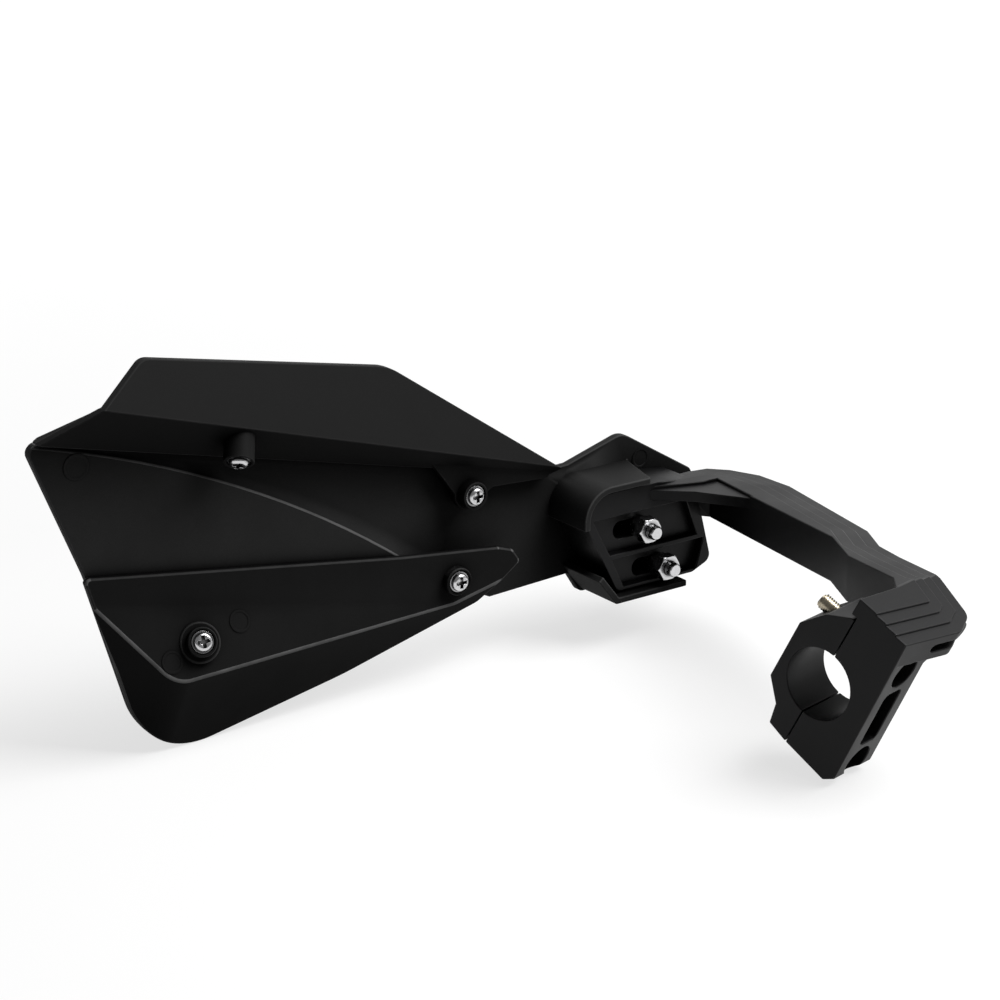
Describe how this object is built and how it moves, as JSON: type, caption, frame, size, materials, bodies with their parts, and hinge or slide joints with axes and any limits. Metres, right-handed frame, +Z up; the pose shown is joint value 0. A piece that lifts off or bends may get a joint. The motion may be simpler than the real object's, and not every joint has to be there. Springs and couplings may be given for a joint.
{
  "type": "motorcycle hand guard",
  "caption": "Black moulded hand guard for a handlebar: folded shell with a screwed-on upper deflector and lower wing, on a bent arm with a split bar clamp.",
  "frame": {"origin": "centre of the clamp's bore, on the handlebar's axis", "axes": "+X along the bar towards the middle of the machine, +Y forward, +Z up"},
  "size_m": [0.2435, 0.2062, 0.1239],
  "materials": {
    "shell_plastic": "fine moulded grain",
    "deflector_plastic": "fine moulded grain",
    "wing_plastic": "fine moulded grain",
    "arm_plastic": "satin",
    "zinc_steel": "bright zinc plate"
  },
  "bodies": {
    "root": {"main_shell": "shell_plastic", "upper_deflector": "deflector_plastic", "lower_wing": "wing_plastic", "mounting_arm": "arm_plastic", "clamp_cap": "arm_plastic", "clamp_bolt_upper": "zinc_steel", "clamp_bolt_lower": "zinc_steel", "deflector_screw_outer": "zinc_steel", "deflector_screw_inner": "zinc_steel", "wing_screw_inner": "zinc_steel", "wing_screw_outer": "zinc_steel", "bracket_bolt_upper": "zinc_steel", "bracket_bolt_lower": "zinc_steel", "bracket_nut_upper": "zinc_steel", "bracket_nut_lower": "zinc_steel", "bracket_collar_upper": "zinc_steel", "bracket_collar_lower": "zinc_steel", "bracket_washer_upper": "zinc_steel", "bracket_washer_lower": "zinc_steel"}
  },
  "joints": []
}
